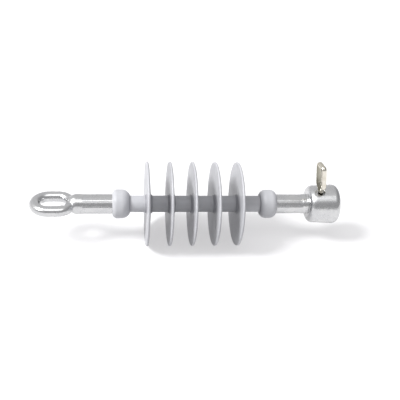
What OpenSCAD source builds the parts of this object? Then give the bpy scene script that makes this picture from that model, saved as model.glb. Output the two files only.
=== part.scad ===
// Long-rod suspension insulator. A glass fibre rod carries the pull between two steel
// end fittings. A rubber sheath with five weather sheds covers the rod, a rubber collar
// seals each fitting, and a split pin locks the ball in the socket.
// The insulator lies along X on the rims of its sheds, the eye at -X, the socket at +X.

/* [Overall] */
// Length from the tip of the eye to the face of the socket
total_length = 440; // [436:1:480]

/* [Core and sheath] */
// Diameter of the glass fibre rod
rod_d = 18; // [16:0.5:18]
// Outside diameter of the rubber sheath
sheath_d = 23.6; // [23:0.1:24]

/* [Sheds] */
// Number of weather sheds
shed_count = 5; // [3:1:5]
// Outside diameter of a shed
shed_d = 120; // [90:1:130]
// Distance from one shed to the next
shed_pitch = 32.2; // [26:0.1:33]
// Place of the middle of the row of shed rims
shed_row_x = 6.9; // [2:0.1:12]
// Thickness of a shed at its rim
shed_rim_t = 3.2; // [2.4:0.1:4]

/* [Collars] */
// Outside diameter of the two sealing collars
collar_d = 41; // [39:0.5:45]

/* [Ferrules] */
// Outside diameter of the crimped ferrules
ferrule_d = 28.5; // [28:0.1:30]
// Depth that the rod reaches into each fitting
rod_grip = 54; // [45:1:56]

/* [Eye] */
// Diameter of the round limb of the eye
eye_limb_d = 15; // [12:0.5:16]
// Width of the hole in the eye
eye_hole_w = 24; // [20:0.5:26]
// Length of the hole in the eye
eye_hole_l = 35; // [30:0.5:36]

/* [Socket] */
// Largest diameter of the socket cap
socket_d = 57; // [56:0.5:60]
// Width of the space that the ball sits in
ball_space_d = 35; // [34.5:0.1:36]
// Width of the throat that the ball's shank hangs in
throat_w = 19.5; // [19:0.1:20]
// Turn of the socket about the axis, from pin hole straight up
socket_turn = 20; // [0:1:30]
// Diameter of the hole for the lock pin
pin_hole_d = 11.4; // [11.2:0.1:12]

/* [Lock pin] */
// Width of the half-round wire of the pin
wire_w = 8.2; // [7.6:0.1:8.3]
// Thickness of the half-round wire of the pin
wire_t = 3.4; // [3:0.1:3.5]
// Height of the loop above the socket cap
loop_h = 49.6; // [44:0.1:54]
// Clear gap between the two sides of the loop
loop_gap = 14.8; // [13.6:0.1:16]

/* [Hidden] */
$fn = 96;
shed_nodes = [for (i = [1:shed_count]) str("shed_", i)];

axis_z = shed_d / 2;               // height of the insulator's axis above the floor
bond = 0.02;                       // gap kept between bonded or crimped faces
eye_tip = 126.5;                   // from a ferrule's mouth to the tip of the eye,
socket_face = 103.5;               // and to the face of the socket
eye_mouth_x = eye_tip - total_length / 2;
socket_mouth_x = total_length / 2 - socket_face;

rod_r = rod_d / 2;
sheath_r = sheath_d / 2;
ferrule_r = ferrule_d / 2;

counterbore_r = 12.5;              // recess in each ferrule mouth, for the sheath's end
counterbore_l = 8.5;
sheath_entry = 5.8;                // how far the sheath goes into the recess
o_ring_r = 1.2;

rim_r = shed_rim_t / 2;
hub_r = sheath_r + 1.2;            // sleeve at the foot of each shed
hub_start = -2.8;
hub_end = 7.6;
foot_left = 0;                     // where the shed's two faces meet the sleeve
foot_right = 5.6;
foot_overlap = 0.5;                // how deep the shed's faces start inside the sleeve
fillet_r = 2;

eye_end_r = (eye_hole_w + eye_limb_d) / 2;
eye_far = eye_tip - eye_limb_d - eye_hole_w / 2;
eye_near = eye_far - (eye_hole_l - eye_hole_w);
eye_ferrule_l = 61.2;

socket_ferrule_l = 60;
ball_roof = 68;                    // these are counted from the ferrule's mouth
ball_seat = 93;
cap_straight = 36.5;               // from the shoulder's middle to the face
shoulder_r = 9;
lip_r = 8.5;
shoulder_at = [ferrule_r + 3.85, socket_face - cap_straight];
lip_at = [socket_d / 2 - lip_r, socket_face - lip_r];
pin_hole_at = 74;
pin_hole_chamfer = 0.7;

cap_r_at_pin = 27.6;               // radius of the cap where the pin comes out
pin_wall = cap_r_at_pin - ball_space_d / 2;
pin_back = 8;                      // lean of the legs away from straight out
pin_lean = 3;
head_back = 4.3;                   // further lean of the loop
head_lean = 6.4;
pin_twist = 14;
leg_gap = 0.1;                     // from the pin's middle plane to the flat of each leg
loop_corner_r = 3;
neck_overlap = 0.3;                // how far the loop's two feet run past the middle
neck_l = loop_gap / 2 + neck_overlap;
neck_out_r = 3.4;
neck_in_r = neck_l - neck_out_r;
neck_flat = 0.2;                   // straight between the neck's two bends
neck_foot = 1.8;                   // height of the loop's foot above the cap
leg_reach = 41;                    // how far the straight legs go into the cap
tip_l = 6;
tip_spread = 28;

// Turns a profile, drawn as radius and place along X, about the insulator's axis.
module turned() {
    translate([0, 0, axis_z]) rotate([0, 90, 0]) rotate_extrude() children();
}

// Puts what is drawn upwards from a ferrule mouth at the eye end or the socket end.
module at_eye_end() {
    translate([eye_mouth_x, 0, axis_z]) rotate([0, -90, 0]) children();
}

module at_socket_end() {
    translate([socket_mouth_x, 0, axis_z]) rotate([0, 90, 0]) children();
}

// Rectangle of a profile, between two radii and two places along the axis.
module band(r0, r1, from, to) {
    translate([r0, from]) square([r1 - r0, to - from]);
}

module core_rod() {
    color("wheat") turned()
        band(0, rod_r, eye_mouth_x - rod_grip, socket_mouth_x + rod_grip);
}

module rubber_sheath() {
    color("gray") turned()
        band(rod_r + bond, sheath_r, eye_mouth_x - sheath_entry,
             socket_mouth_x + sheath_entry);
}

// Concave corner between the sleeve and one face of a shed. Side is -1 or 1.
module shed_fillet(foot, side) {
    difference() {
        translate([hub_r - 0.1, foot + (side < 0 ? -fillet_r : -0.3)])
            square([fillet_r + 0.1, fillet_r + 0.3]);
        translate([hub_r + fillet_r, foot + side * fillet_r]) circle(r = fillet_r);
    }
}

// One shed, drawn about the middle of its rim.
module shed_profile() {
    rim_at = shed_d / 2 - rim_r;
    difference() {
        union() {
            polygon([
                [hub_r - foot_overlap, foot_left], [rim_at, -rim_r],
                [rim_at, rim_r], [hub_r - foot_overlap, foot_right]
            ]);
            translate([rim_at, 0]) circle(r = rim_r);
            band(sheath_r, hub_r, hub_start, hub_end);
            shed_fillet(foot_left, -1);
            shed_fillet(foot_right, 1);
        }
        band(0, sheath_r + bond, hub_start - 1, hub_end + 1);
    }
}

module shed(i) {
    from_middle = i - (shed_count + 1) / 2;
    color("silver") translate([shed_row_x + from_middle * shed_pitch, 0, 0])
        turned() shed_profile();
}

// Collar over a ferrule mouth: a flat crown with a round curve down each side.
// The inner side faces the sheds and the outer side faces the fitting.
module collar(crown_in, crown_out, curve_in, curve_out) {
    crown_r = collar_d / 2;
    reach = 16;
    rotate_extrude() difference() {
        union() {
            band(sheath_r, crown_r, crown_in, crown_out);
            translate([crown_r - curve_in, crown_in]) circle(r = curve_in);
            translate([crown_r - curve_out, crown_out]) circle(r = curve_out);
        }
        band(-reach, sheath_r + bond, -reach, bond);
        band(-reach, ferrule_r + bond, 0, reach);
    }
}

module eye_end_collar() {
    color("darkgray") at_eye_end() collar(-0.5, 5.8, 12.7, 6.6);
}

module socket_end_collar() {
    color("darkgray") at_socket_end() collar(-3, 3, 9.5, 9.5);
}

module o_ring() {
    color("black") rotate_extrude()
        translate([rod_r + o_ring_r + bond, counterbore_l - o_ring_r - 0.1])
            circle(r = o_ring_r);
}

module sealant() {
    color("white") rotate_extrude()
        band(sheath_r + bond, counterbore_r - bond, 0, sheath_entry);
}

module eye_end_o_ring() {
    at_eye_end() o_ring();
}

module socket_end_o_ring() {
    at_socket_end() o_ring();
}

module eye_end_sealant() {
    at_eye_end() sealant();
}

module socket_end_sealant() {
    at_socket_end() sealant();
}

// What is bored out of a ferrule: the rod's hole and the recess in its mouth.
module ferrule_bores() {
    translate([0, 0, -1]) cylinder(r = rod_r + bond, h = rod_grip + 1.2);
    translate([0, 0, -1]) cylinder(r = counterbore_r, h = counterbore_l + 1);
}

// Half of the round end of the eye, lying flat about its own centre.
module eye_bend() {
    rotate([0, 90, 0]) rotate_extrude(angle = 180)
        translate([eye_end_r, 0]) circle(d = eye_limb_d);
}

module eye_fitting() {
    color("lightsteelblue") at_eye_end() {
        difference() {
            union() {
                cylinder(r = ferrule_r, h = eye_ferrule_l);
                translate([0, 0, eye_ferrule_l]) sphere(r = ferrule_r);
            }
            ferrule_bores();
        }
        translate([0, 0, eye_far]) rotate([90, 0, 0]) eye_bend();
        translate([0, 0, eye_near]) rotate([-90, 0, 0]) eye_bend();
        for (side = [-1, 1])
            translate([0, side * eye_end_r, eye_near])
                cylinder(d = eye_limb_d, h = eye_far - eye_near);
    }
}

// Half of the cap's outline. Its wall is the line that touches both the round shoulder
// and the round lip.
module cap_profile() {
    across = lip_at - shoulder_at;
    wall_slope = atan2(across[0], across[1]) - asin((shoulder_r - lip_r) / norm(across));
    out = [cos(wall_slope), -sin(wall_slope)];
    translate(shoulder_at) circle(r = shoulder_r);
    translate(lip_at) circle(r = lip_r);
    polygon([
        [0, shoulder_at[1] - shoulder_r], [shoulder_at[0], shoulder_at[1] - shoulder_r],
        shoulder_at, shoulder_at + shoulder_r * out, lip_at + lip_r * out, lip_at,
        [lip_at[0], socket_face], [0, socket_face]
    ]);
}

// The space that a ball drops into from the side, and the throat for its shank.
module ball_coupling_space() {
    reach = socket_d;
    space_l = ball_seat - ball_roof;
    translate([0, 0, ball_roof]) {
        cylinder(d = ball_space_d, h = space_l);
        translate([0, -ball_space_d / 2, 0]) cube([reach, ball_space_d, space_l]);
    }
    translate([0, 0, ball_seat - 1]) {
        cylinder(d = throat_w, h = reach);
        translate([0, -throat_w / 2, 0]) cube([reach, throat_w, reach]);
    }
}

// Puts what is drawn upwards at the pin hole, with 0 at the hole's outer end.
module at_pin_hole() {
    translate([0, 0, pin_hole_at]) rotate([0, -90, 0])
        translate([0, 0, cap_r_at_pin]) children();
}

// The hole for the lock pin, with a chamfer round its outer rim.
module pin_hole() {
    hole_r = pin_hole_d / 2;
    flare = 3;
    rotate_extrude() polygon([
        [0, -cap_r_at_pin], [hole_r, -cap_r_at_pin], [hole_r, -pin_hole_chamfer],
        [hole_r + flare, flare - pin_hole_chamfer], [0, flare - pin_hole_chamfer]
    ]);
}

module socket_fitting() {
    color("lightsteelblue") translate([0, 0, axis_z]) rotate([socket_turn, 0, 0])
        translate([0, 0, -axis_z]) at_socket_end() difference() {
            union() {
                cylinder(r = ferrule_r, h = socket_ferrule_l);
                rotate_extrude() intersection() {
                    cap_profile();
                    band(0, socket_d, 0, socket_face);
                }
            }
            ferrule_bores();
            ball_coupling_space();
            at_pin_hole() pin_hole();
        }
}

// Section of the half-round wire: its flat is on the Y axis, its back towards +X.
module wire_section() {
    back_r = (wire_w * wire_w / 4 + wire_t * wire_t) / (2 * wire_t);
    intersection() {
        translate([wire_t - back_r, 0]) circle(r = back_r);
        translate([0, -wire_w / 2]) square([wire_t, wire_w]);
    }
}

// A quarter bend of the wire, starting upwards, about an axis on its flat side (1)
// or on its back (-1). The radius is that of the flat.
module quarter_bend(radius, side) {
    translate([-side * radius, 0, 0]) mirror([side < 0 ? 1 : 0, 0, 0])
        rotate([90, 0, 0]) rotate_extrude(angle = 90)
            translate([radius, 0]) mirror([side < 0 ? 1 : 0, 0]) wire_section();
}

// Follows a list of steps, each a straight's length and a quarter bend's radius and side.
module wire(steps, i = 0) {
    if (i < len(steps)) {
        length = steps[i][0];
        radius = steps[i][1];
        side = steps[i][2];
        linear_extrude(length) wire_section();
        if (radius > 0) translate([0, 0, length]) {
            quarter_bend(radius, side);
            translate([-side * radius, 0, radius]) rotate([0, -side * 90, 0])
                wire(steps, i + 1);
        }
    }
}

// The loop, from its crest down both sides to the neck where the legs meet.
module pin_loop() {
    crest_l = loop_gap / 2 - loop_corner_r;
    side_l = loop_h - wire_t - loop_corner_r - neck_l - neck_foot - neck_flat;
    for (turn = [0, 180])
        rotate([0, 0, turn]) translate([0, 0, loop_h - wire_t]) rotate([90, -90, 0])
            wire([
                [crest_l, loop_corner_r, 1],
                [side_l, neck_out_r, 1],
                [neck_flat, neck_in_r, -1],
                [neck_foot, 0, 0]
            ]);
}

// The two legs that go down through the socket, with their tips spread.
module pin_legs() {
    for (turn = [0, 180])
        rotate([0, 0, turn]) translate([leg_gap, 0, -leg_reach]) {
            linear_extrude(leg_reach + neck_foot) wire_section();
            rotate([0, 180 - tip_spread, 0]) mirror([1, 0, 0])
                translate([0, 0, -1]) linear_extrude(tip_l + 1) wire_section();
        }
}

module lock_pin() {
    color("lightyellow") translate([0, 0, axis_z]) rotate([socket_turn, 0, 0])
        translate([0, 0, -axis_z]) at_socket_end() at_pin_hole()
            translate([0, 0, -pin_wall / 2]) rotate([-pin_back, -pin_lean, 0])
                translate([0, 0, pin_wall / 2]) rotate([0, 0, pin_twist]) {
                    rotate([-head_back, -head_lean, 0]) pin_loop();
                    rotate([0, 0, -90]) pin_legs();
                }
}

core_rod();
rubber_sheath();
eye_end_collar();
socket_end_collar();
eye_fitting();
socket_fitting();
eye_end_o_ring();
socket_end_o_ring();
eye_end_sealant();
socket_end_sealant();
lock_pin();
for (i = [1:shed_count])
    shed(i);
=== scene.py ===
"""The looks of a long-rod suspension insulator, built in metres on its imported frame.

The insulator lies along X with its eye at -X and its ball socket at +X. Every outline below
is written in millimetres, as a maker would draw it, and is turned into metres once, when
its mesh is made.
"""

import math

import bmesh
import bpy
from mathutils import Matrix, Vector


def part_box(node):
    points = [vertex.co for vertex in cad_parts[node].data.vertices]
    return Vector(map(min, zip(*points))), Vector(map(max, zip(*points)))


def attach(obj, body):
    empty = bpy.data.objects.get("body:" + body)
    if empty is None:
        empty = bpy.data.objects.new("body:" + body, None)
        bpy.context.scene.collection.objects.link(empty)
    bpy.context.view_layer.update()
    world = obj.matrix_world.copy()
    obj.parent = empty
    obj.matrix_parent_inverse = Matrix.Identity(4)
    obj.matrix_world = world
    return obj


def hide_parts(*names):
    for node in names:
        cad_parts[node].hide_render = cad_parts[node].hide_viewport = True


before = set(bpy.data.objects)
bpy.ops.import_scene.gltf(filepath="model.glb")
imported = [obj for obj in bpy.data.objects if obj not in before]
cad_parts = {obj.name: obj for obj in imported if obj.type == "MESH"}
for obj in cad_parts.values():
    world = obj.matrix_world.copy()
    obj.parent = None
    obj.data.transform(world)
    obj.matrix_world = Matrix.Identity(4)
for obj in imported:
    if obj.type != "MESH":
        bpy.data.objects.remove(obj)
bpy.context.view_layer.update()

MM = 0.001
SAME_POINT = 0.000002  # points closer than this are joined
SHED_WAVE = 0.00022
WAVE_START, WAVE_REACH = 0.02, 0.05  # the radius where a shed starts to wave, and its growth
FIRST_SEED = 11
BODY = "insulator"
PIN_BODY = "lock_pin"


# ---------------------------------------------------------------- node trees


class Signal:
    """A socket of a node tree. Arithmetic on it adds Math nodes to the tree."""

    def __init__(self, graph, socket):
        self.graph = graph
        self.socket = socket

    def output(self, name):
        """Another output of the same node."""
        return Signal(self.graph, self.socket.node.outputs[name])

    def __add__(self, other):
        return self.graph.math("ADD", self, other)

    def __sub__(self, other):
        return self.graph.math("SUBTRACT", self, other)

    def __mul__(self, other):
        return self.graph.math("MULTIPLY", self, other)

    def __truediv__(self, other):
        return self.graph.math("DIVIDE", self, other)

    def __rsub__(self, other):
        return self.graph.math("SUBTRACT", other, self)

    def __abs__(self):
        return self.graph.math("ABSOLUTE", self)

    __radd__ = __add__
    __rmul__ = __mul__


class Graph:
    """A node tree that is written as expressions."""

    def __init__(self, tree):
        self.tree = tree

    def add(self, kind, settings=None, inputs=None, output=0):
        """A node of any kind, with its settings first and then its sockets' values or links."""
        node = self.tree.nodes.new(kind)
        for name, value in (settings or {}).items():
            setattr(node, name, value)
        for key, value in (inputs or {}).items():
            if isinstance(value, Signal):
                self.tree.links.new(value.socket, node.inputs[key])
            else:
                node.inputs[key].default_value = value
        return Signal(self, node.outputs[output]) if node.outputs else node

    def math(self, operation, *values):
        return self.add("ShaderNodeMath", {"operation": operation}, dict(enumerate(values)))

    def clamp01(self, value):
        return self.add("ShaderNodeClamp", inputs={"Value": value})

    def step(self, value, start, end):
        """Rises smoothly from 0 at start to 1 at end."""
        return self.add(
            "ShaderNodeMapRange",
            {"interpolation_type": "SMOOTHSTEP"},
            {"Value": value, "From Min": start, "From Max": end},
        )

    def blend(self, share, first, second):
        """Two colours mixed by a share."""
        return self.add(
            "ShaderNodeMix", {"data_type": "RGBA"}, {0: share, 6: first, 7: second}, output=2
        )

    def noise(self, place, scale, detail=3.0, roughness=0.55):
        return self.add(
            "ShaderNodeTexNoise",
            inputs={"Vector": place, "Scale": scale, "Detail": detail, "Roughness": roughness},
        )

    def parts(self, place):
        """A place taken apart. Its outputs are X, Y and Z."""
        return self.add("ShaderNodeSeparateXYZ", inputs={0: place})

    def stretched(self, place, scale):
        """A place with each axis multiplied, for patterns that run along the object."""
        return self.add(
            "ShaderNodeVectorMath", {"operation": "MULTIPLY"}, {0: place, 1: Vector(scale)}
        )


def rgba(red, green, blue):
    return (red, green, blue, 1.0)


# ---------------------------------------------------------------- finishes


def new_finish(name):
    """An empty material, its graph, and the place on the piece."""
    material = bpy.data.materials.new(name)
    material.use_nodes = True
    material.node_tree.nodes.clear()
    graph = Graph(material.node_tree)
    place = graph.add("ShaderNodeTexCoord", output="Object")
    return material, graph, place


def close_finish(graph, color, roughness, height, depth, constants):
    """Ends a finish: its surface takes the varying colour, roughness and relief."""
    normal = graph.add(
        "ShaderNodeBump", inputs={"Strength": 1.0, "Distance": depth, "Height": height}
    )
    surface = graph.add(
        "ShaderNodeBsdfPrincipled",
        inputs={"Base Color": color, "Roughness": roughness, "Normal": normal, **constants},
    )
    graph.add("ShaderNodeOutputMaterial", inputs={"Surface": surface})


def galvanised_steel():
    """Hot-dip zinc on a forging: faint spangle, dull runs, pin-holes and a soft satin grain."""
    material, graph, place = new_finish("galvanised_steel")
    crystals = graph.add(
        "ShaderNodeTexVoronoi", inputs={"Vector": place, "Scale": 230.0}, output="Color"
    )
    crystal = graph.add("ShaderNodeSeparateColor", inputs={0: crystals})
    runs = graph.noise(graph.stretched(place, (0.5, 1.0, 1.0)), 85.0, 4.0)
    grain = graph.noise(place, 900.0, 5.0, 0.6)
    swell = graph.noise(place, 150.0, 2.0)
    specks = graph.add("ShaderNodeTexVoronoi", inputs={"Vector": place, "Scale": 420.0})
    pin_holes = 1 - graph.step(specks, 0.06, 0.16)
    pits_here = graph.step(graph.noise(place, 60.0), 0.5, 0.66)
    pits = pin_holes * pits_here
    bright = rgba(0.63, 0.63, 0.625)
    dull = rgba(0.48, 0.485, 0.50)
    zinc = graph.blend(graph.clamp01(runs * 1.5 - 0.42 + crystal * 0.22), bright, dull)
    color = graph.blend(pits * 0.45, zinc, rgba(0.38, 0.39, 0.41))
    roughness = graph.clamp01(runs * 0.20 + crystal * 0.06 + grain * 0.06 + pits * 0.2 + 0.10)
    height = swell * 0.5 + grain * 0.16 + crystal * 0.05 - pits * 0.35
    constants = {"Metallic": 1.0, "Specular IOR Level": 0.5}
    close_finish(graph, color, roughness, height, 0.00012, constants)
    return material


def silicone_rubber():
    """Moulded grey silicone: bloom in soft clouds, fine orange peel, a parting line, and
    painted shade darkening the corner at the foot of each shed, where shed and sheath meet."""
    material, graph, place = new_finish("silicone_rubber")
    parts = graph.parts(place)
    across = parts.output("Y")
    up = parts.output("Z") - AXIS_Z
    clouds = graph.noise(graph.stretched(place, (0.6, 1.0, 1.0)), 42.0, 4.0)
    peel = graph.noise(place, 1500.0, 2.0, 0.5)
    ripple = graph.noise(place, 190.0, 2.0)
    dust = graph.step(graph.noise(place, 620.0, 6.0, 0.7), 0.60, 0.78)
    split = abs(up * math.cos(PARTING_TURN) - across * math.sin(PARTING_TURN))
    seam = 1 - graph.step(split, 0.00008, 0.00035)
    radius = graph.math("SQRT", across * across + up * up)
    # painted shade: the corner where each shed meets the sheath is darkened towards near black
    foot = graph.step(radius, *FOOT_INSIDE) * (1 - graph.step(radius, *FOOT_OUTSIDE))
    light = rgba(0.415, 0.418, 0.436)
    deep = rgba(0.345, 0.348, 0.367)
    body = graph.blend(graph.clamp01(clouds * 1.7 - 0.35), light, deep)
    dusty = graph.blend(dust * 0.16, body, rgba(0.64, 0.64, 0.64))
    seamed = graph.blend(seam * 0.18, dusty, rgba(0.34, 0.34, 0.36))
    color = graph.blend(foot * 0.6, seamed, rgba(0.15, 0.15, 0.17))
    roughness = graph.clamp01(clouds * 0.14 + peel * 0.06 + dust * 0.10 + 0.29)
    height = peel * 0.2 + ripple * 0.3 + seam * 0.9
    constants = {"Specular IOR Level": 0.42, "IOR": 1.43}
    close_finish(graph, color, roughness, height, 0.00005, constants)
    return material


def stainless_wire():
    """Half-round stainless wire: bright, slightly warm, with drawing lines along it.

    Its flat side, which faces into the loop, is painted darker and warmer as painted shade. The map
    named wire holds the way along and round it.
    """
    material, graph, place = new_finish("stainless_wire")
    along = graph.add("ShaderNodeUVMap", {"uv_map": "wire"})
    round_wire = graph.parts(along).output("Y")
    flat = graph.step(abs(round_wire - FLAT_MIDDLE), FLAT_MIDDLE, FLAT_MIDDLE - 0.03)
    lines = graph.noise(graph.stretched(along, (1.2, 260.0, 1.0)), 9.0, 4.0, 0.6)
    smears = graph.noise(place, 130.0, 3.0)
    scuffs = graph.step(graph.noise(graph.stretched(along, (30.0, 60.0, 1.0)), 6.0), 0.6, 0.72)
    clean = rgba(0.72, 0.69, 0.62)
    stained = rgba(0.56, 0.52, 0.43)
    steel = graph.blend(graph.clamp01(smears * 1.8 - 0.5), clean, stained)
    # painted shade: the wire's flat side is darkened towards a warm olive
    flat_shaded = graph.blend(flat * 0.8, steel, rgba(0.36, 0.35, 0.29))
    color = graph.blend(scuffs * 0.25, flat_shaded, rgba(0.80, 0.78, 0.74))
    roughness = graph.clamp01(lines * 0.16 + smears * 0.08 + scuffs * 0.08 + flat * 0.16 + 0.07)
    height = lines * 0.35 + scuffs * 0.1
    close_finish(graph, color, roughness, height, 0.00004, {"Metallic": 1.0})
    return material


def glass_fibre():
    """Pultruded rod: straight glass strands along X in a greenish-yellow resin."""
    material, graph, place = new_finish("glass_fibre")
    strands = graph.noise(graph.stretched(place, (14.0, 1500.0, 1500.0)), 1.0, 4.0, 0.6)
    bundles = graph.noise(graph.stretched(place, (5.0, 330.0, 330.0)), 1.0, 3.0)
    resin = graph.blend(bundles, rgba(0.56, 0.55, 0.34), rgba(0.68, 0.66, 0.46))
    color = graph.blend(strands * 0.5, resin, rgba(0.78, 0.78, 0.66))
    roughness = graph.clamp01(strands * 0.3 + 0.35)
    close_finish(graph, color, roughness, strands + bundles * 0.5, 0.00006, {})
    return material


def black_rubber():
    """O-ring rubber: dense black with a faint bloom and a fine moulded grain."""
    material, graph, place = new_finish("black_rubber")
    bloom = graph.noise(place, 260.0, 4.0)
    grain = graph.noise(place, 1900.0, 2.0)
    black, worn = rgba(0.018, 0.018, 0.02), rgba(0.05, 0.05, 0.05)
    color = graph.blend(graph.clamp01(bloom - 0.2), black, worn)
    roughness = graph.clamp01(bloom * 0.25 + 0.38)
    close_finish(graph, color, roughness, grain, 0.00003, {})
    return material


def cured_sealant():
    """Room-cured silicone: pale grey, slightly glossy, with tooling waves and bubbles."""
    material, graph, place = new_finish("cured_sealant")
    waves = graph.noise(graph.stretched(place, (3.0, 1.0, 1.0)), 210.0, 3.0)
    specks = graph.add("ShaderNodeTexVoronoi", inputs={"Vector": place, "Scale": 700.0})
    bubbles = 1 - graph.step(specks, 0.05, 0.2)
    color = graph.blend(waves, rgba(0.44, 0.45, 0.46), rgba(0.54, 0.55, 0.55))
    roughness = graph.clamp01(waves * 0.2 + 0.3)
    close_finish(graph, color, roughness, waves - bubbles * 0.4, 0.00012, {})
    return material


def glowing_table():
    """A lit translucent studio table: even and white, with a barely visible tooth."""
    material, graph, place = new_finish("glowing_table")
    tooth = graph.noise(place, 55.0, 4.0)
    color = graph.blend(tooth * 0.4, rgba(0.43, 0.43, 0.435), rgba(0.415, 0.415, 0.42))
    roughness = tooth * 0.1 + 0.85
    glow = {
        "Specular IOR Level": 0.05,
        "Emission Color": rgba(1.0, 0.99, 1.0),
        "Emission Strength": 0.46,
    }
    close_finish(graph, color, roughness, tooth, 0.00002, glow)
    return material


# ---------------------------------------------------------------- outlines


def arc(center, radius, start, end, steps):
    """Points of an arc, from one angle to another in degrees, ends included."""
    points = []
    for i in range(steps + 1):
        angle = math.radians(start + (end - start) * i / steps)
        points.append(Vector(center) + radius * Vector((math.cos(angle), math.sin(angle))))
    return points


def rounded(corners, steps=8, closed=True):
    """The outline through corners given as (x, y, radius), with each corner rounded."""
    outline = []
    count = len(corners)
    for i, (x, y, radius) in enumerate(corners):
        here = Vector((x, y))
        if radius == 0 or (not closed and i in (0, count - 1)):
            outline.append(here)
            continue
        before = (Vector(corners[i - 1][:2]) - here).normalized()
        after = (Vector(corners[(i + 1) % count][:2]) - here).normalized()
        half_angle = before.angle(after) / 2
        reach = radius / math.tan(half_angle)
        center = here + (before + after).normalized() * radius / math.sin(half_angle)
        first = here + before * reach - center
        turn = first.angle_signed(here + after * reach - center)
        for k in range(steps + 1):
            outline.append(center + Matrix.Rotation(-turn * k / steps, 2) @ first)
    return outline


def supported(outline, closed=True, near=0.2, longest=3.0):
    """The outline with points added near the ends of each long straight, and along it."""
    points = []
    count = len(outline)
    for i, here in enumerate(outline):
        points.append(here)
        if i == count - 1 and not closed:
            break
        step = outline[(i + 1) % count] - here
        length = step.length
        if length > 4 * near:
            inner = length - 2 * near
            pieces = max(1, math.ceil(inner / longest))
            places = [near + inner * k / pieces for k in range(pieces + 1)]
            points.extend(here + step * (place / length) for place in places)
    return points


# ---------------------------------------------------------------- turned pieces


def turning_tree():
    """Turns a profile about X. The profile's points hold the place along X and the radius in Z.

    The turned surface can wave along X: the wave grows from nothing at the given radius.
    """
    tree = bpy.data.node_groups.new("turned_piece", "GeometryNodeTree")
    sockets = {}
    for name, kind, value in (
        ("Profile", "NodeSocketGeometry", None),
        ("Steps", "NodeSocketInt", 128),
        ("Wave", "NodeSocketFloat", 0.0),
        ("Wave Start", "NodeSocketFloat", 0.0),
        ("Lobes", "NodeSocketInt", 3),
        ("Seed", "NodeSocketInt", 0),
        ("Finish", "NodeSocketMaterial", None),
    ):
        socket = tree.interface.new_socket(name, in_out="INPUT", socket_type=kind)
        if value is not None:
            socket.default_value = value
        sockets[name] = socket.identifier
    tree.interface.new_socket("Piece", in_out="OUTPUT", socket_type="NodeSocketGeometry")

    graph = Graph(tree)
    given = graph.add("NodeGroupInput")
    profile, steps = given.output("Profile"), given.output("Steps")
    ring = steps + 1
    count = graph.add(
        "GeometryNodeAttributeDomainSize", {"component": "MESH"}, {"Geometry": profile}
    )
    sheet = graph.add(
        "GeometryNodeMeshGrid", inputs={"Vertices X": count, "Vertices Y": ring}, output="Mesh"
    )
    index = graph.add("GeometryNodeInputIndex")
    row = graph.math("FLOOR", (index + 0.5) / ring)
    angle = (index - row * ring) * (2 * math.pi) / steps
    point = graph.add(
        "GeometryNodeSampleIndex",
        {"data_type": "FLOAT_VECTOR"},
        {
            "Geometry": profile,
            "Value": graph.add("GeometryNodeInputPosition"),
            "Index": row,
        },
    )
    spot = graph.parts(point)
    radius = spot.output("Z")
    phase = graph.add(
        "FunctionNodeRandomValue",
        {"data_type": "FLOAT"},
        {"Min": 0.0, "Max": 2 * math.pi, "ID": 0, "Seed": given.output("Seed")},
        output=1,
    )
    growth = graph.math("MAXIMUM", radius - given.output("Wave Start"), 0.0) / WAVE_REACH
    sway = graph.math("SINE", angle * given.output("Lobes") + phase)
    along = spot.output("X") + given.output("Wave") * growth * growth * sway
    new_place = graph.add(
        "ShaderNodeCombineXYZ",
        inputs={
            "X": along,
            "Y": radius * graph.math("SINE", angle),
            "Z": radius * graph.math("COSINE", angle),
        },
    )
    turned = graph.add("GeometryNodeSetPosition", inputs={"Geometry": sheet, "Position": new_place})
    closed = graph.add(
        "GeometryNodeMergeByDistance", inputs={"Geometry": turned, "Distance": SAME_POINT}
    )
    smooth = graph.add("GeometryNodeSetShadeSmooth", inputs={"Geometry": closed})
    real = graph.add("GeometryNodeRealizeInstances", inputs={"Geometry": smooth})
    done = graph.add(
        "GeometryNodeSetMaterial", inputs={"Geometry": real, "Material": given.output("Finish")}
    )
    graph.add("NodeGroupOutput", inputs={0: done})
    return tree, sockets


def link_object(name, mesh):
    piece = bpy.data.objects.new(name, mesh)
    bpy.context.scene.collection.objects.link(piece)
    return piece


def evaluated_mesh(piece, name):
    """The piece's mesh with its modifiers applied, as a plain mesh."""
    view = bpy.context.evaluated_depsgraph_get()
    mesh = bpy.data.meshes.new_from_object(piece.evaluated_get(view))
    mesh.name = name
    return mesh


def face_outwards(mesh):
    """Points every face of a closed mesh outwards."""
    work = bmesh.new()
    work.from_mesh(mesh)
    bmesh.ops.recalc_face_normals(work, faces=work.faces)
    work.to_mesh(mesh)
    work.free()


def stand_for(piece, node, body=BODY):
    """Makes a piece the look of a CAD node: it rides on its body and hides the node."""
    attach(piece, body)
    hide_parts(node)


def turned_piece(name, outline, place_x, finish, steps=128, closed=True, **waves):
    """A closed piece turned about the insulator's axis from an outline in (x, radius)."""
    points = [(p.x * MM, 0.0, p.y * MM) for p in outline]
    if closed:
        points.append(points[0])
    profile = bpy.data.meshes.new(name + "_profile")
    profile.from_pydata(points, [(i, i + 1) for i in range(len(points) - 1)], [])
    blank = link_object(name + "_blank", profile)
    modifier = blank.modifiers.new("turn", "NODES")
    modifier.node_group = TURNING
    modifier[TURNING_SOCKETS["Steps"]] = steps
    modifier[TURNING_SOCKETS["Finish"]] = finish
    for key, value in waves.items():
        modifier[TURNING_SOCKETS[key]] = value
    mesh = evaluated_mesh(blank, name)
    blank.modifiers.clear()
    bpy.data.objects.remove(blank)
    bpy.data.meshes.remove(profile)
    mesh.transform(Matrix.Translation((place_x, 0, AXIS_Z)))
    face_outwards(mesh)
    return link_object(name, mesh)


# ---------------------------------------------------------------- forgings


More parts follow.
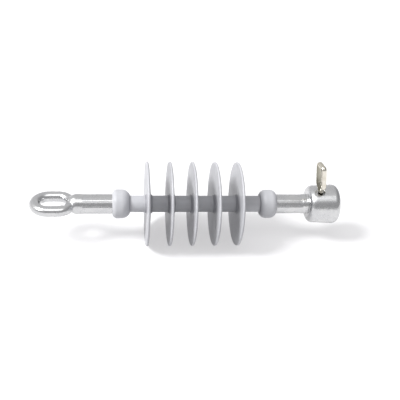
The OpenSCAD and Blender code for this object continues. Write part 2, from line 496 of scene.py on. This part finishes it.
def forged_piece(name, node, finish, voxel, passes, soft_zone=None, reshape=None):
    """A forging with rounded edges, made from its exact solid.

    The solid is remeshed evenly and smoothed. In the soft zone, a pair of places along X,
    a longer smoothing runs shapes into each other as a forging die does. The reshape
    function moves each point at the end.
    """
    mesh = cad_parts[node].data.copy()
    work = bmesh.new()
    work.from_mesh(mesh)
    bmesh.ops.remove_doubles(work, verts=work.verts, dist=SAME_POINT)
    work.to_mesh(mesh)
    work.free()
    blank = link_object(name + "_blank", mesh)
    remesh = blank.modifiers.new("even", "REMESH")
    remesh.mode = "VOXEL"
    remesh.voxel_size = voxel
    even = evaluated_mesh(blank, name)
    bpy.data.objects.remove(blank)
    piece = link_object(name, even)
    if soft_zone:
        start, end = soft_zone
        middle, half = (start + end) / 2, (end - start) / 2
        group = piece.vertex_groups.new(name="soft")
        for vertex in even.vertices:
            share = 1 - abs(vertex.co.x - middle) / half
            if share > 0:
                group.add([vertex.index], min(1.0, share * SOFT_RISE), "REPLACE")
        soften = piece.modifiers.new("soften", "SMOOTH")
        soften.factor = 0.5
        soften.iterations = SOFT_PASSES
        soften.vertex_group = "soft"
    settle = piece.modifiers.new("settle", "SMOOTH")
    settle.factor = 0.5
    settle.iterations = passes
    smooth = evaluated_mesh(piece, name)
    bpy.data.objects.remove(piece)
    bpy.data.meshes.remove(even)
    if reshape:
        for vertex in smooth.vertices:
            vertex.co = reshape(vertex.co)
    smooth.polygons.foreach_set("use_smooth", [True] * len(smooth.polygons))
    smooth.materials.clear()
    smooth.materials.append(finish)
    return link_object(name, smooth)


def crimped(mouth_x, zone):
    """Presses the outside of a ferrule in, in eight jaw marks, over a zone of places along X
    counted from its mouth."""
    start, end = (mouth_x + place * MM for place in zone)

    def reshape(point):
        along = min(point.x - start, end - point.x)
        offset = Vector((0, point.y, point.z - AXIS_Z))
        radius = offset.length
        if along <= 0 or radius < CRIMP_INSIDE or radius > FERRULE_R * 1.02:
            return point
        share = min(1.0, along / CRIMP_EASE)
        share = share * share * (3 - 2 * share)
        turn = math.atan2(offset.z, offset.y)
        ridge = abs(math.cos(turn * CRIMP_JAWS / 2 + CRIMP_TURN)) ** RIDGE_SHARPNESS
        press = CRIMP_DEPTH * share * (1 - ridge * RIDGE_SHARE)
        return point - offset.normalized() * press

    return reshape


# ---------------------------------------------------------------- wire


def half_round_section(width, thick, edge):
    """The wire's section: (across, out) points, with a flat at out = 0."""
    back = (width * width / 4 + thick * thick) / (2 * thick)
    side = math.degrees(math.asin((back - thick) / back)) + DOME_SKIP
    dome = arc((0, thick - back), back, side, 180 - side, 18)
    half = width / 2
    corners = [
        (-half + 0.05, edge, 0),
        (-half, 0, edge * 0.6),
        (half, 0, edge * 0.6),
        (half - 0.05, edge, 0),
    ]
    flat = rounded(corners, steps=4, closed=False)
    return supported(flat[1:-1] + dome, near=0.25, longest=1.6)


def swept_wire(name, path, section, finish):
    """Sweeps the section along a flat path of (y, z) points, its flat on the path's left."""
    rings = []
    lengths = [0.0]
    for i, here in enumerate(path):
        before = path[max(i - 1, 0)]
        after = path[min(i + 1, len(path) - 1)]
        ahead = (after - before).normalized()
        right = Vector((ahead.y, -ahead.x))
        ring = [Vector((across, *(here + right * out))) for across, out in section]
        rings.append(ring)
        if i:
            lengths.append(lengths[-1] + (here - before).length)
    around = len(section)
    girth = [0.0]
    for k in range(around):
        girth.append(girth[-1] + math.dist(section[k], section[(k + 1) % around]))
    mesh = bpy.data.meshes.new(name)
    work = bmesh.new()
    uv = work.loops.layers.uv.new("wire")
    grid = [[work.verts.new(point) for point in ring] for ring in rings]
    for i in range(len(grid) - 1):
        for k in range(around):
            corners = ((i, k), (i, k + 1), (i + 1, k + 1), (i + 1, k))
            face = work.faces.new([grid[a][b % around] for a, b in corners])
            for loop, (a, b) in zip(face.loops, corners):
                loop[uv].uv = (lengths[a] * MM * 10, girth[b] / girth[-1])
            face.smooth = True
    for ring in (grid[0], grid[-1]):
        work.faces.new(ring)
    bmesh.ops.recalc_face_normals(work, faces=work.faces)
    work.to_mesh(mesh)
    work.free()
    mesh.materials.append(finish)
    return mesh


# ---------------------------------------------------------------- sizes

rod_low, rod_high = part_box("core_rod")
sheath_low, sheath_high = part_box("rubber_sheath")
eye_low, eye_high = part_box("eye_fitting")
socket_low, socket_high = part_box("socket_fitting")

AXIS_Z = (sheath_low.z + sheath_high.z) / 2
EYE_MOUTH_X = eye_high.x
SOCKET_MOUTH_X = socket_low.x
ROD_R = (rod_high.z - rod_low.z) / 2 / MM
SHEATH_R = (sheath_high.z - sheath_low.z) / 2 / MM
FERRULE_R = 14.25 * MM
BOND = 0.02
PARTING_TURN = math.radians(-38)

SHED_HUB_R = SHEATH_R + 1.2
SHED_HUB = (-2.8, 7.6)
SHED_FOOT = (0.0, 5.6)
SHED_RIM_T = 3.3
# The radii, in metres, between which the painted shade at a shed's foot comes up and fades away.
FOOT_INSIDE, FOOT_OUTSIDE = (0.0121, 0.0126), (0.0134, 0.0162)

# Collars: where the crown starts and ends, counted from the ferrule's mouth with the sheds'
# side negative, and the radii of the curves down to the sheath and down to the ferrule.
EYE_COLLAR = (-0.5, 5.8, 12.7, 6.6)
SOCKET_COLLAR = (-3, 3, 9.5, 9.5)
COLLAR_LIP = 0.35

# Forgings
EYE_VOXEL, EYE_PASSES = 0.52 * MM, 5
SOCKET_VOXEL, SOCKET_PASSES = 0.56 * MM, 4
EYE_NECK = (EYE_MOUTH_X - 80 * MM, EYE_MOUTH_X - 60 * MM)
SOFT_PASSES = 70
SOFT_RISE = 1.6
EYE_CRIMP = (-55, 5)
SOCKET_CRIMP = (-5, 51)
CRIMP_INSIDE = 13 * MM
CRIMP_EASE = 2.2 * MM
CRIMP_DEPTH = 0.30 * MM
CRIMP_JAWS = 8
CRIMP_TURN = 0.5
RIDGE_SHARPNESS = 14
RIDGE_SHARE = 0.8

# Lock pin: turns in degrees, and heights counted from the cap's outside along the pin
SOCKET_TURN = 20
PIN_HOLE_X = SOCKET_MOUTH_X + 74 * MM
CAP_R_AT_PIN = 27.6
PIN_WALL = 10.1
PIN_BACK, PIN_LEAN, PIN_TWIST = 8, 3, 14
HEAD_BACK, HEAD_LEAN = 4.3, 6.4
HEAD_RISE = 9
WIRE_W, WIRE_T = 8.2, 3.4
WIRE_EDGE = 0.4
DOME_SKIP = 5
FLAT_MIDDLE = 0.208  # the middle of the wire's flat, as a share of the way round it
LOOP_HALF = 7.4
LOOP_TOP = 46.2
LOOP_FOOT = 12.5
LOOP_R, CREST_R = 5.0, 3.0
NECK_TOP, NECK_R = 1.0, 6.5
LEG_GAP = 0.1
LEG_END, LEG_BEND_R = -41, 4.0
TIP_OUT, TIP_DOWN = 2.9, 5.5

TURNING, TURNING_SOCKETS = turning_tree()
STEEL = galvanised_steel()
SILICONE = silicone_rubber()
STAINLESS = stainless_wire()
FIBRE = glass_fibre()
BLACK = black_rubber()
SEALANT = cured_sealant()


# ---------------------------------------------------------------- core, sheath and seals


def band_outline(inner, outer, start, end, edge):
    """A ring's section between two radii and two places along X, with eased edges."""
    corners = [(start, inner, edge), (start, outer, edge), (end, outer, edge), (end, inner, edge)]
    return supported(rounded(corners, steps=4))


def rod_outline(length):
    corners = [(0, 0, 0), (0, ROD_R, 0.5), (length, ROD_R, 0.5), (length, 0, 0)]
    return supported(rounded(corners, steps=4, closed=False), closed=False, longest=8)


rod_length = (rod_high.x - rod_low.x) / MM
rod = turned_piece("glass_fibre_rod", rod_outline(rod_length), rod_low.x, FIBRE, closed=False)
stand_for(rod, "core_rod")

sheath_length = (sheath_high.x - sheath_low.x) / MM
sheath_outline = band_outline(ROD_R + BOND, SHEATH_R, 0, sheath_length, 0.4)
sheath = turned_piece("sheath", sheath_outline, sheath_low.x, SILICONE, steps=160)
stand_for(sheath, "rubber_sheath")

for end in ("eye_end", "socket_end"):
    low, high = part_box(end + "_o_ring")
    cord_r = (high.x - low.x) / 2 / MM
    ring_r = (high.z - low.z) / 2 / MM - cord_r
    middle_x = (low.x + high.x) / 2
    ring = turned_piece(end + "_ring", arc((0, ring_r), cord_r, 0, 342, 19), middle_x, BLACK)
    stand_for(ring, end + "_o_ring")

    low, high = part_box(end + "_sealant")
    outer = (high.z - low.z) / 2 / MM
    bead_outline = band_outline(SHEATH_R + BOND, outer, 0, (high.x - low.x) / MM, 0.15)
    bead = turned_piece(end + "_bead", bead_outline, low.x, SEALANT)
    stand_for(bead, end + "_sealant")


# ---------------------------------------------------------------- sheds


def shed_outline(radius):
    """One shed about the middle of its rim: a sleeve, two faces and a full-round rim."""
    inner = SHEATH_R + BOND
    half_rim = SHED_RIM_T / 2
    corners = [
        (SHED_HUB[0], inner, 0.1),
        (SHED_HUB[0], SHED_HUB_R, 0.55),
        (SHED_FOOT[0], SHED_HUB_R, 2.2),
        (-half_rim, radius, half_rim * 0.97),
        (half_rim, radius, half_rim * 0.97),
        (SHED_FOOT[1], SHED_HUB_R, 2.2),
        (SHED_HUB[1], SHED_HUB_R, 0.55),
        (SHED_HUB[1], inner, 0.1),
    ]
    return supported(rounded(corners, steps=10), longest=4.0)


shed_nodes = sorted(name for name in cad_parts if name.startswith("shed_"))
for number, node in enumerate(shed_nodes):
    low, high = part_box(node)
    radius = (high.z - low.z) / 2 / MM
    middle_x = high.x - SHED_HUB[1] * MM
    waves = {"Wave": SHED_WAVE, "Wave Start": WAVE_START}
    waves.update({"Lobes": 3 + number % 2, "Seed": FIRST_SEED + number})
    shed = turned_piece(
        f"weather_{node}",
        shed_outline(radius),
        middle_x,
        SILICONE,
        steps=288,
        **waves,
    )
    stand_for(shed, node)


# ---------------------------------------------------------------- collars


def collar_outline(crown_in, crown_out, curve_in, curve_out, crown_r):
    """A collar's section counted from the ferrule's mouth, the sheds' side being negative."""
    sheath_r = SHEATH_R + BOND
    ferrule_r = FERRULE_R / MM + BOND
    in_center = (crown_in, crown_r - curve_in)
    out_center = (crown_out, crown_r - curve_out)
    in_rise = sheath_r + COLLAR_LIP - in_center[1]
    out_rise = ferrule_r + COLLAR_LIP - out_center[1]
    in_angle = 180 - math.degrees(math.asin(in_rise / curve_in))
    out_angle = math.degrees(math.asin(out_rise / curve_out))
    outline = arc(in_center, curve_in, in_angle, 90, 26)
    outline += arc(out_center, curve_out, 90, out_angle, 26)
    foot_out = outline[-1].x
    foot_in = outline[0].x
    outline += [Vector((foot_out + 0.03, ferrule_r + 0.12)), Vector((foot_out - 0.1, ferrule_r))]
    outline += [Vector((BOND, ferrule_r)), Vector((BOND, sheath_r))]
    outline += [Vector((foot_in + 0.1, sheath_r)), Vector((foot_in - 0.03, sheath_r + 0.12))]
    return supported(outline, near=0.12, longest=2.5)


def mirrored(outline):
    return [Vector((-p.x, p.y)) for p in outline]


for end, mouth_x, shape in (
    ("eye_end", EYE_MOUTH_X, EYE_COLLAR),
    ("socket_end", SOCKET_MOUTH_X, SOCKET_COLLAR),
):
    low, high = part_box(end + "_collar")
    outline = collar_outline(*shape, (high.z - low.z) / 2 / MM)
    if end == "eye_end":
        outline = mirrored(outline)
    collar = turned_piece(end + "_boot", outline, mouth_x, SILICONE, steps=224)
    stand_for(collar, end + "_collar")


# ---------------------------------------------------------------- end fittings

eye_crimp = crimped(EYE_MOUTH_X, EYE_CRIMP)
eye = forged_piece(
    "forged_eye", "eye_fitting", STEEL, EYE_VOXEL, EYE_PASSES, EYE_NECK, reshape=eye_crimp
)
stand_for(eye, "eye_fitting")

socket_crimp = crimped(SOCKET_MOUTH_X, SOCKET_CRIMP)
socket = forged_piece(
    "forged_socket", "socket_fitting", STEEL, SOCKET_VOXEL, SOCKET_PASSES, reshape=socket_crimp
)
stand_for(socket, "socket_fitting")


# ---------------------------------------------------------------- lock pin


def pin_path():
    """The wire's flat side in the pin's own plane, from one leg's tip round to the other."""
    side = [
        (LEG_GAP + TIP_OUT, LEG_END - TIP_DOWN, 0),
        (LEG_GAP, LEG_END, LEG_BEND_R),
        (LEG_GAP, NECK_TOP, NECK_R),
        (LOOP_HALF, LOOP_FOOT, LOOP_R),
        (LOOP_HALF, LOOP_TOP, CREST_R),
    ]
    other = [(-y, z, radius) for y, z, radius in reversed(side)]
    path = rounded(side + other, steps=12, closed=False)
    return supported(path, closed=False, near=0.4, longest=2.0)


def lean_head(point):
    """Bends the loop away from the line of the legs, above the socket."""
    share = min(1.0, max(0.0, point.z / HEAD_RISE))
    share = share * share * (3 - 2 * share)
    lean = Matrix.Rotation(math.radians(-HEAD_LEAN * share), 3, "Y")
    back = Matrix.Rotation(math.radians(-HEAD_BACK * share), 3, "X")
    return lean @ back @ point


def pin_place():
    """Where the pin's own frame stands in the insulator, in metres."""
    turn = Matrix.Rotation(math.radians(SOCKET_TURN), 4, "X")
    lean = Matrix.Rotation(math.radians(-PIN_LEAN), 4, "Y")
    back = Matrix.Rotation(math.radians(-PIN_BACK), 4, "X")
    twist = Matrix.Rotation(math.radians(PIN_TWIST), 4, "Z")
    hole = Matrix.Translation((PIN_HOLE_X, 0, (CAP_R_AT_PIN - PIN_WALL / 2) * MM))
    rise = Matrix.Translation((0, 0, PIN_WALL / 2 * MM))
    return Matrix.Translation((0, 0, AXIS_Z)) @ turn @ hole @ lean @ back @ rise @ twist


pin_section = half_round_section(WIRE_W, WIRE_T, WIRE_EDGE)
pin_mesh = swept_wire("split_pin", pin_path(), pin_section, STAINLESS)
for vertex in pin_mesh.vertices:
    vertex.co = lean_head(vertex.co) * MM
pin_mesh.transform(pin_place())
pin = link_object("split_pin", pin_mesh)
stand_for(pin, "lock_pin", PIN_BODY)


# ---------------------------------------------------------------- floor, light and camera


def studio_floor():
    mesh = bpy.data.meshes.new("floor")
    reach = 6.0
    corners = [(-reach, -reach, 0), (reach, -reach, 0), (reach, reach, 0), (-reach, reach, 0)]
    mesh.from_pydata(corners, [], [(0, 1, 2, 3)])
    mesh.materials.append(glowing_table())
    link_object("floor", mesh)


def key_light(toward, strength, spread):
    """One distant soft light, whose shadows all fall the same way. The spread is in degrees."""
    light = bpy.data.lights.new("key", "SUN")
    light.energy = strength
    light.angle = math.radians(spread)
    lamp = bpy.data.objects.new("key", light)
    lamp.rotation_euler = Vector(toward).to_track_quat("Z", "Y").to_euler()
    bpy.context.scene.collection.objects.link(lamp)


def soft_light(name, toward, distance, size, radiance):
    """A rectangular softbox that faces the insulator, seen from it along a direction."""
    light = bpy.data.lights.new(name, "AREA")
    light.shape = "RECTANGLE"
    light.size, light.size_y = size
    light.energy = radiance * math.pi * size[0] * size[1]
    lamp = bpy.data.objects.new(name, light)
    away = Vector(toward).normalized()
    lamp.location = Vector((0, 0, AXIS_Z)) + away * distance
    lamp.rotation_euler = away.to_track_quat("Z", "Y").to_euler()
    bpy.context.scene.collection.objects.link(lamp)


def studio_surround():
    """Pale walls all round, brightest on the left and darker on the right and in front, low
    down. The camera itself sees plain white."""
    world = bpy.data.worlds.new("studio")
    bpy.context.scene.world = world
    world.use_nodes = True
    world.node_tree.nodes.clear()
    graph = Graph(world.node_tree)
    place = graph.add("ShaderNodeTexCoord", output="Generated")
    parts = graph.parts(place)
    left = graph.step(parts.output("X") * -1.0, 0.2, 0.8)
    right = graph.step(parts.output("X"), 0.2, 0.8)
    front = graph.step(parts.output("Y") * -1.0, 0.05, 0.55)
    low = 1 - graph.step(parts.output("Z"), 0.62, 0.74)
    walls = graph.blend(left, rgba(0.78, 0.78, 0.79), rgba(0.86, 0.86, 0.87))
    walls = graph.blend(right, walls, rgba(0.42, 0.42, 0.43))
    walls = graph.blend(front * low, walls, rgba(0.45, 0.45, 0.46))
    seen = graph.add("ShaderNodeLightPath", output="Is Camera Ray")
    shown = graph.blend(seen, walls, rgba(1, 1, 1))
    light = graph.add("ShaderNodeBackground", inputs={"Color": shown, "Strength": 1.0})
    graph.add("ShaderNodeOutputWorld", inputs={"Surface": light})


def studio_camera():
    """A short telephoto lens above the near side, rolled so that the axis lies level."""
    turn, lift, distance = math.radians(7.6), math.radians(32), 0.961
    across = -math.sin(turn)
    right = Vector((math.cos(turn), across * math.cos(lift), -across * math.sin(lift)))
    up = Vector((0, math.sin(lift), math.cos(lift)))
    back = right.cross(up)
    aim_x, aim_rise = 0.0185, 0.0054
    aim = Vector((aim_x, 0, AXIS_Z)) + up * aim_rise
    data = bpy.data.cameras.new("camera")
    data.lens = 60.5
    data.sensor_width = 36
    data.clip_start, data.clip_end = 0.01, 50
    camera = bpy.data.objects.new("camera", data)
    place = Matrix((right, up, back)).transposed().to_4x4()
    place.translation = aim + back * distance
    camera.matrix_world = place
    bpy.context.scene.collection.objects.link(camera)
    bpy.context.scene.camera = camera


studio_floor()
key_light(toward=(-0.70, -0.19, 0.77), strength=4.4, spread=20)
soft_light(
    "overhead_softbox", toward=(-0.05, -0.42, 0.90), distance=1.2, size=(1.02, 0.60), radiance=1.7
)
studio_surround()
studio_camera()
bpy.context.scene.view_settings.view_transform = "Standard"
